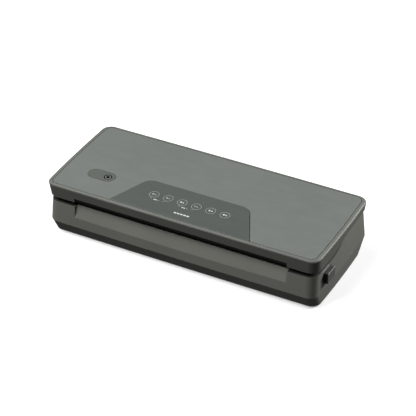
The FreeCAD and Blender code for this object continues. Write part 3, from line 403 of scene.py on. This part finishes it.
# Colour, roughness, grain size and depth in mm, tone change, edge wear, and anything special.
MOULDED = {
    "grey_plastic": (LID_GREY, 0.46, 0.35, 0.012, 0.03, 0.10, {"metallic": 0.15}),
    "panel_plastic": (PANEL_GREY, 0.40, 0.25, 0.006, 0.03, 0.10, {"specular": 0.35}),
    # port_plastic and dark_plastic take painted shade: black in the port's cup and on the base's
    # deck.
    "port_plastic": (PORT_GREY, 0.44, 0.35, 0.012, 0.03, 0.10, {"black_where": painted_cup_shade}),
    "dark_plastic": (BODY_DARK, 0.42, 0.45, 0.020, 0.05, 0.14, {"black_where": painted_deck_shade}),
    "rim_plastic": (RIM_DARK, 0.56, 0.45, 0.020, 0.05, 0.06, {"specular": 0.35}),
    "cover_plastic": (COVER_DARK, 0.46, 0.45, 0.024, 0.05, 0.14, {}),
    "button_plastic": (BUTTON_GREY, 0.40, 0.40, 0.012, 0.04, 0.22, {}),
    "black_plastic": (MATT_BLACK, 0.48, 0.50, 0.022, 0.10, 0.25, {}),
    "component_plastic": (CASE_BLACK, 0.42, 0.6, 0.015, 0.10, 0.20, {}),
    "led_lens": (LENS_WHITE, 0.22, 0.6, 0.008, 0.04, 0.05, {}),
    "bright_ink": (PRINT_BRIGHT, 0.55, 0.3, 0.006, 0.05, 0.0, {}),
    "soft_ink": (PRINT_SOFT, 0.55, 0.3, 0.006, 0.05, 0.0, {}),
    "faint_ink": (PRINT_FAINT, 0.55, 0.3, 0.006, 0.05, 0.0, {}),
    "foot_rubber": (RUBBER_BLACK, 0.74, 0.6, 0.040, 0.20, 0.10, {}),
    "hose_rubber": (SILICONE, 0.40, 0.9, 0.010, 0.05, 0.05, {}),
}


def make_materials():
    made = {name: moulded(name, *values, **special)
            for name, (*values, special) in MOULDED.items()}
    for name, make in (("gasket_foam", foam), ("coated_tape", woven_tape),
                       ("copper_winding", winding), ("circuit_board", circuit)):
        made[name] = make(name)
    made["heating_alloy"] = metal("heating_alloy", NICKEL, 0.30)
    made["steel"] = metal("steel", ZINC, 0.32)
    made["plated_brass"] = metal("plated_brass", BRASS, 0.24, (30.0, 1.0, 30.0))
    return made


MATERIALS = make_materials()


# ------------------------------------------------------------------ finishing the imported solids
# Width in millimetres of the small round on a node's edges; a node not listed gets EDGE_ROUND.
EDGE_ROUND = 0.25
EDGE_ROUNDS = {
    "base_housing": 0.6, "bottom_cover": 0.5, "lid_frame": 0.4, "lid_top_plate": 0.3,
    "control_panel": 0.15, "lower_gasket": 1.2, "upper_gasket": 1.2, "sealing_bar": 0.5,
    "heating_wire": 0.03, "sealing_tape": 0.05, "main_board": 0.1, "control_board": 0.1,
    "drip_tray": 0.4, "port_insert": 0.3, "port_nozzle": 0.15, "hinge_pin_right": 0.2,
    "hinge_pin_left": 0.2, "touch_pads": 0.1, "inlet_pins": 0.1,
}
WELD_REACH = 2e-6
SHARP_EDGE = 14             # degrees between faces from which an edge is rounded
FLAT_FACE_WEIGHT = 80       # pulls the normals of a round's ends to the large flat faces

# Nodes whose finish differs from the slot that they share.
OWN_FINISH = {"button_cap_right": "button_plastic", "button_cap_left": "button_plastic",
              "lid_frame": "rim_plastic", "bottom_cover": "cover_plastic",
              # Painted shade: the nozzle is black, for its walls in the shade of the port's recess.
              "port_insert": "port_plastic", "port_nozzle": "black_plastic"}


def round_edges(obj, width_mm):
    """Weld the facets, then round every sharp edge a little and weight the normals towards the large
    flat faces.
    """
    obj.modifiers.new("weld", "WELD").merge_threshold = WELD_REACH
    bevel = obj.modifiers.new("bevel", "BEVEL")
    bevel.width = width_mm * MM
    bevel.segments = 2
    bevel.limit_method = "ANGLE"
    bevel.angle_limit = math.radians(SHARP_EDGE)
    bevel.use_clamp_overlap = True
    bevel.harden_normals = True
    bevel.miter_outer = "MITER_ARC"
    flat = obj.modifiers.new("flat", "WEIGHTED_NORMAL")
    flat.mode = "FACE_AREA"
    flat.weight = FLAT_FACE_WEIGHT
    flat.keep_sharp = True


def finish_nodes():
    slots = {s["node"]: s["material_slot"] for s in frame["record"]["subparts"]}
    for name, obj in NODES.items():
        obj.data.materials.clear()
        obj.data.materials.append(MATERIALS[OWN_FINISH.get(name, slots[name])])
        round_edges(obj, EDGE_ROUNDS.get(name, EDGE_ROUND))


finish_nodes()


# ------------------------------------------------------------------ outlines
def circle(x, y, r, count=48, start=0.0, turn=2 * math.pi):
    """Points on a circle, or on a part of one with both of its ends."""
    steps = count if turn >= 2 * math.pi else count + 1
    angles = [start + turn * k / count for k in range(steps)]
    return [(x + r * math.cos(a), y + r * math.sin(a)) for a in angles]


def hoop(x, y, r, width, count=48):
    """Ring outline centred on radius r."""
    return (circle(x, y, r + width / 2, count), circle(x, y, r - width / 2, count))


def bar(x0, y0, x1, y1, width):
    """Straight stroke with square ends."""
    dx, dy = x1 - x0, y1 - y0
    size = math.hypot(dx, dy)
    ux, uy = -dy / size * width / 2, dx / size * width / 2
    return [(x0 + ux, y0 + uy), (x0 - ux, y0 - uy), (x1 - ux, y1 - uy), (x1 + ux, y1 + uy)]


def slab(x, y, w, h, r, count=5):
    """Rounded rectangle outline centred on x, y."""
    points = []
    for sx, sy, start in ((1, 1, 0), (-1, 1, 90), (-1, -1, 180), (1, -1, 270)):
        points += circle(x + sx * (w / 2 - r), y + sy * (h / 2 - r), r, count,
                         math.radians(start), math.radians(90))
    return points


def placed(shapes, x, y):
    """Shapes drawn in millimetres about the origin, in metres about x, y."""
    def move(loop):
        return [(x + a * MM, y + b * MM) for a, b in loop]
    return [tuple(move(loop) for loop in shape) if isinstance(shape, tuple) else move(shape)
            for shape in shapes]


PRINT_HEIGHT = 0.05 * MM


def flat_piece(name, shapes, z, body, material, height=PRINT_HEIGHT):
    """One mesh made of many flat outlines, each a closed list of (x, y) points or a pair of
    lists for an outline with a hole, standing height above z."""
    mesh = bmesh.new()
    for shape in shapes:
        outer, inner = shape if isinstance(shape, tuple) else (shape, None)
        loops = [[[mesh.verts.new((x, y, level)) for x, y in loop] for level in (z, z + height)]
                 for loop in (outer, inner) if loop]
        for low, high in loops:
            for k in range(len(low)):
                nxt = (k + 1) % len(low)
                mesh.faces.new((low[k], low[nxt], high[nxt], high[k]))
        if inner:
            (low_a, high_a), (low_b, high_b) = loops
            for k in range(len(low_a)):
                nxt = (k + 1) % len(low_a)
                mesh.faces.new((high_a[k], high_a[nxt], high_b[nxt], high_b[k]))
                mesh.faces.new((low_a[k], low_b[k], low_b[nxt], low_a[nxt]))
        else:
            mesh.faces.new(loops[0][1])
            mesh.faces.new(list(reversed(loops[0][0])))
    bmesh.ops.recalc_face_normals(mesh, faces=mesh.faces)
    data = bpy.data.meshes.new(name)
    mesh.to_mesh(data)
    mesh.free()
    obj = bpy.data.objects.new(name, data)
    bpy.context.scene.collection.objects.link(obj)
    data.materials.append(MATERIALS[material])
    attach(obj, body)
    return obj


def middle_of(name):
    """A node's middle in x and y, at rest."""
    low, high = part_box(name)
    return (low.x + high.x) / 2, (low.y + high.y) / 2


# ------------------------------------------------------------------ printed marks, in millimetres
KEY_RING = [hoop(0, 0, 5.95, 0.42)]
BAG = [slab(0, -0.25, 2.2, 2.0, 0.35), bar(-1.1, 1.2, 1.1, 1.2, 0.45)]
PUMP = [hoop(0, 0, 1.0, 0.5, 20), bar(0, -1.5, 0, 1.5, 0.4)]
DRY = [slab(0, 0, 1.2, 1.2, 0.3)] + [bar(a, b, 1.6 * a, 1.6 * b, 0.4)
                                     for a, b in ((1, 0), (-1, 0), (0, 1), (0, -1))]
DROP = [circle(0, -0.4, 0.95, 20), [(-0.8, 0), (0.8, 0), (0, 1.6)]]
CANISTER = [slab(0, -0.3, 2.0, 2.0, 0.3), slab(0, 1.25, 1.3, 0.6, 0.15)]
SEAM = [bar(-1.2, d, 1.2, d, 0.5) for d in (-0.9, 0.0, 0.9)]
# Two signs side by side on each key, and whether they are printed bright.
KEYS = ((BAG, PUMP, False), (BAG, DRY, False), (BAG, DROP, True),
        (PUMP, DROP, False), (CANISTER, PUMP, True), (BAG, SEAM, True))
SIGN_SHIFT = 1.55 * MM

# A bracket joins two keys below, with a short mark between its ends. It starts at each left key.
BRACKET_KEYS = (("left", 0), ("right", 2))
BRACKET_ENDS = ([bar(-1.6, -6.6, 1.8, -9.4, 0.36)], [bar(0.6, -6.6, -3.4, -9.4, 0.36)])
MODE_LABEL = [slab(-4.4, -9.4, 2.0, 1.5, 0.3), slab(-1.9, -9.4, 2.0, 1.5, 0.3),
              slab(1.4, -9.4, 1.6, 0.6, 0.2)]

PROGRESS_BAR = [slab((k - 2) * 4.2, 0, 3.3, 2.1, 0.4) for k in range(5)]
PROGRESS_SHIFT, PROGRESS_DROP = 1.3 * MM, 22.6 * MM   # from the middle of the row of keys

ARROW_HEAD = [[(-1.4, 0), (0.9, 1.2), (0.9, -1.2)]]
ARROW_IN = 9.0 * MM                                   # from the closed end of the port
# Painted highlight: a pale ring on the nozzle's top lip, where light catches it.
NOZZLE_LIP_HIGHLIGHT = [hoop(0, 0, 3.1, 0.45)]
LIP_HIGHLIGHT_HEIGHT = 0.08 * MM


def key_centres():
    """The touch keys' centres, over the contact posts."""
    low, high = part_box("touch_pads")
    pad = (high.y - low.y) / 2
    step = (high.x - low.x - 2 * pad) / (len(KEYS) - 1)
    return [(low.x + pad + k * step, (low.y + high.y) / 2) for k in range(len(KEYS))]


def panel_marks():
    """Rings, signs, brackets and the bar of five segments on the control panel."""
    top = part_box("control_panel")[1].z
    centres = key_centres()
    for k, ((x, y), (left, right, bright)) in enumerate(zip(centres, KEYS)):
        flat_piece(f"key_ring_{k + 1}", placed(KEY_RING, x, y), top, "lid", "soft_ink")
        signs = placed(left, x - SIGN_SHIFT, y) + placed(right, x + SIGN_SHIFT, y)
        flat_piece(f"key_signs_{k + 1}", signs, top, "lid", "bright_ink" if bright else "soft_ink")
    for side, first in BRACKET_KEYS:
        pair = centres[first:first + 2]
        ends = [placed(end, *centre)[0] for end, centre in zip(BRACKET_ENDS, pair)]
        flat_piece(f"mode_bracket_{side}", ends, top, "lid", "soft_ink")
        middle = (pair[0][0] + pair[1][0]) / 2
        flat_piece(f"mode_label_{side}", placed(MODE_LABEL, middle, pair[0][1]), top, "lid",
                   "bright_ink")
    x = (centres[2][0] + centres[3][0]) / 2 + PROGRESS_SHIFT
    y = centres[0][1] - PROGRESS_DROP
    flat_piece("progress_bar", placed(PROGRESS_BAR, x, y), top, "lid", "bright_ink")


def port_marks():
    """Small arrow head near the closed end of the hose port, and a pale ring on its nozzle's top lip,
    a painted highlight where light catches the lip.
    """
    low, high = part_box("port_insert")
    arrow = placed(ARROW_HEAD, low.x + ARROW_IN, (low.y + high.y) / 2)
    flat_piece("port_arrow", arrow, high.z, "lid", "faint_ink")
    lip = placed(NOZZLE_LIP_HIGHLIGHT, *middle_of("port_nozzle"))
    flat_piece("nozzle_lip_highlight", lip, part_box("port_nozzle")[1].z, "lid", "soft_ink", LIP_HIGHLIGHT_HEIGHT)


panel_marks()
port_marks()


# ------------------------------------------------------------------ painted shade: dark foam strips in the lid's grooves
# Painted shade: dark foam strips stand in the grooves so that they read as dark lines.
SHADE_STRIP_DEPTH, SHADE_STRIP_HEIGHT = 2.0 * MM, 1.35 * MM    # foot below the plate's top, and its own height
PANEL_SHADE_STRIP, PLATE_SHADE_STRIP = (0.46 * MM, 1.02 * MM), (0.1 * MM, 0.7 * MM)   # near and far side
PANEL_OPEN, PLATE_OPEN = 92 * MM, 94 * MM        # half the part of the front side without a dark strip
PANEL_SHADE_START = 0.6 * MM                      # behind the panel's front edge
PORT_SHADE_RADII, PORT_SHADE_HEIGHT = (9.85 * MM, 9.25 * MM), 1.75 * MM   # outer and inner radius
PORT_END = 11.2 * MM                             # from the insert's end to its round's centre
TOP_LAYER = 0.02 * MM


def top_outline(name):
    """Convex outline of a node's highest points, counter-clockwise seen from above."""
    obj = NODES[name]
    spots = [obj.matrix_world @ v.co for v in obj.data.vertices]
    top = max(p.z for p in spots)
    points = sorted({(round(p.x, 6), round(p.y, 6)) for p in spots if p.z > top - TOP_LAYER})
    halves = []
    for run in (points, points[::-1]):
        chain = []
        for x, y in run:
            while len(chain) > 1 and ((chain[-1][0] - chain[-2][0]) * (y - chain[-2][1]) -
                                      (chain[-1][1] - chain[-2][1]) * (x - chain[-2][0])) <= 0:
                chain.pop()
            chain.append((x, y))
        halves += chain[:-1]
    return halves


def open_at_front(points, half_x):
    """The outline from x = half_x on its front side, round the rear, to x = -half_x."""
    front = min(y for _, y in points)

    def nearest(loop, x):
        return min(range(len(loop)), key=lambda k: math.hypot(loop[k][0] - x, loop[k][1] - front))

    start = nearest(points, half_x)
    turned = points[start:] + points[:start]
    return turned[:nearest(turned, -half_x) + 1]


def pushed_out(path, distance):
    """The path moved to its right, which is outwards."""
    moved = []
    for k, (x, y) in enumerate(path):
        ax, ay = path[max(k - 1, 0)]
        bx, by = path[min(k + 1, len(path) - 1)]
        size = math.hypot(bx - ax, by - ay)
        moved.append((x + (by - ay) / size * distance, y - (bx - ax) / size * distance))
    return moved


def stretched_ends(path, y):
    """The path with both ends carried on in a straight line to the given y."""
    def carry(a, b):
        t = (y - a[1]) / (a[1] - b[1])
        return (a[0] + (a[0] - b[0]) * t, y)
    return [carry(path[0], path[1])] + path + [carry(path[-1], path[-2])]


def groove_shade_strip(name, path, sides, z):
    near, far = (pushed_out(path, distance) for distance in sides)
    # Painted shade: a dark foam strip between the two offsets of the path.
    flat_piece(name, [near + far[::-1]], z, "lid", "gasket_foam", SHADE_STRIP_HEIGHT)


def groove_shades():
    """Painted shade: dark foam strips in the grooves round the panel, the plate and the port,
    standing in for the shade in them.
    """
    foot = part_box("lid_top_plate")[1].z - SHADE_STRIP_DEPTH
    panel = open_at_front(top_outline("control_panel"), PANEL_OPEN)
    panel = stretched_ends(panel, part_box("control_panel")[0].y + PANEL_SHADE_START)
    groove_shade_strip("panel_groove_shade", panel, PANEL_SHADE_STRIP, foot)
    plate = open_at_front(top_outline("lid_top_plate"), PLATE_OPEN)
    groove_shade_strip("plate_groove_shade", plate, PLATE_SHADE_STRIP, foot)
    low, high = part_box("port_insert")
    y, left, right = (low.y + high.y) / 2, low.x + PORT_END, high.x - PORT_END
    rounds = tuple(circle(right, y, r, 24, -math.pi / 2, math.pi) +
                   circle(left, y, r, 24, math.pi / 2, math.pi) for r in PORT_SHADE_RADII)
    flat_piece("port_groove_shade", [rounds], foot, "lid", "gasket_foam", PORT_SHADE_HEIGHT)


groove_shades()


# ------------------------------------------------------------------ stage, light, camera
def add_object(name, data):
    obj = bpy.data.objects.new(name, data)
    bpy.context.scene.collection.objects.link(obj)
    return obj


def studio_surface():
    n = Nodes("studio_white")
    n.feed("Base Color", n.mix(n.drift(n.noise(FLOOR_PATCH_MM, 2.0), 0.0, 1.0), *FLOOR_TONES))
    n.fix("Roughness", FLOOR_ROUGH)
    n.fix("Specular IOR Level", FLOOR_SPECULAR)
    n.fix("Emission Color", WHITE)
    from_middle = n.add("ShaderNodeVectorMath", operation="LENGTH")
    n.link(n.place, from_middle.inputs[0])
    glow = n.spread(from_middle.outputs["Value"], *GLOW_RANGE, FLOOR_GLOW, 1.0)
    n.feed("Emission Strength", glow)
    return n.material


def make_floor():
    mesh = bpy.data.meshes.new("floor")
    corners = [(x * FLOOR_HALF, y * FLOOR_HALF, 0) for x, y in ((-1, -1), (1, -1), (1, 1), (-1, 1))]
    mesh.from_pydata(corners, [], [(0, 1, 2, 3)])
    mesh.materials.append(studio_surface())
    floor = add_object("floor", mesh)
    floor.location.z = -FLOOR_DROP
    floor.visible_diffuse = False
    floor.visible_glossy = False


def make_world():
    world = bpy.data.worlds.new("studio")
    bpy.context.scene.world = world
    world.use_nodes = True
    background = world.node_tree.nodes["Background"]
    background.inputs["Color"].default_value = WHITE
    background.inputs["Strength"].default_value = WORLD_STRENGTH


def make_lights():
    for name, place, aim, size, power in LIGHTS:
        data = bpy.data.lights.new(name, "AREA")
        data.shape = "RECTANGLE"
        data.size, data.size_y = size
        data.energy = power
        light = add_object(name, data)
        light.location = place
        light.rotation_mode = "QUATERNION"
        light.rotation_quaternion = (Vector(aim) - Vector(place)).to_track_quat("-Z", "Y")


def make_camera():
    a, e = math.radians(CAMERA_AZIMUTH), math.radians(CAMERA_ELEVATION)
    back = Vector((math.sin(a) * math.cos(e), -math.cos(a) * math.cos(e), math.sin(e)))
    right = Vector((math.cos(a), math.sin(a), 0.0))
    up = back.cross(right)
    data = bpy.data.cameras.new("camera")
    data.lens, data.sensor_width = CAMERA_LENS, SENSOR
    data.clip_start, data.clip_end = CAMERA_CLIP
    camera = add_object("camera", data)
    camera.location = (CAMERA_TARGET + back * CAMERA_DISTANCE
                       + right * CAMERA_SLIDE[0] + up * CAMERA_SLIDE[1])
    camera.rotation_mode = "QUATERNION"
    camera.rotation_quaternion = (-back).to_track_quat("-Z", "Y")
    bpy.context.scene.camera = camera


make_floor()
make_world()
make_lights()
make_camera()
bpy.context.scene.view_settings.view_transform = "Standard"
bpy.context.scene.view_settings.look = "None"

bpy.context.view_layer.update()
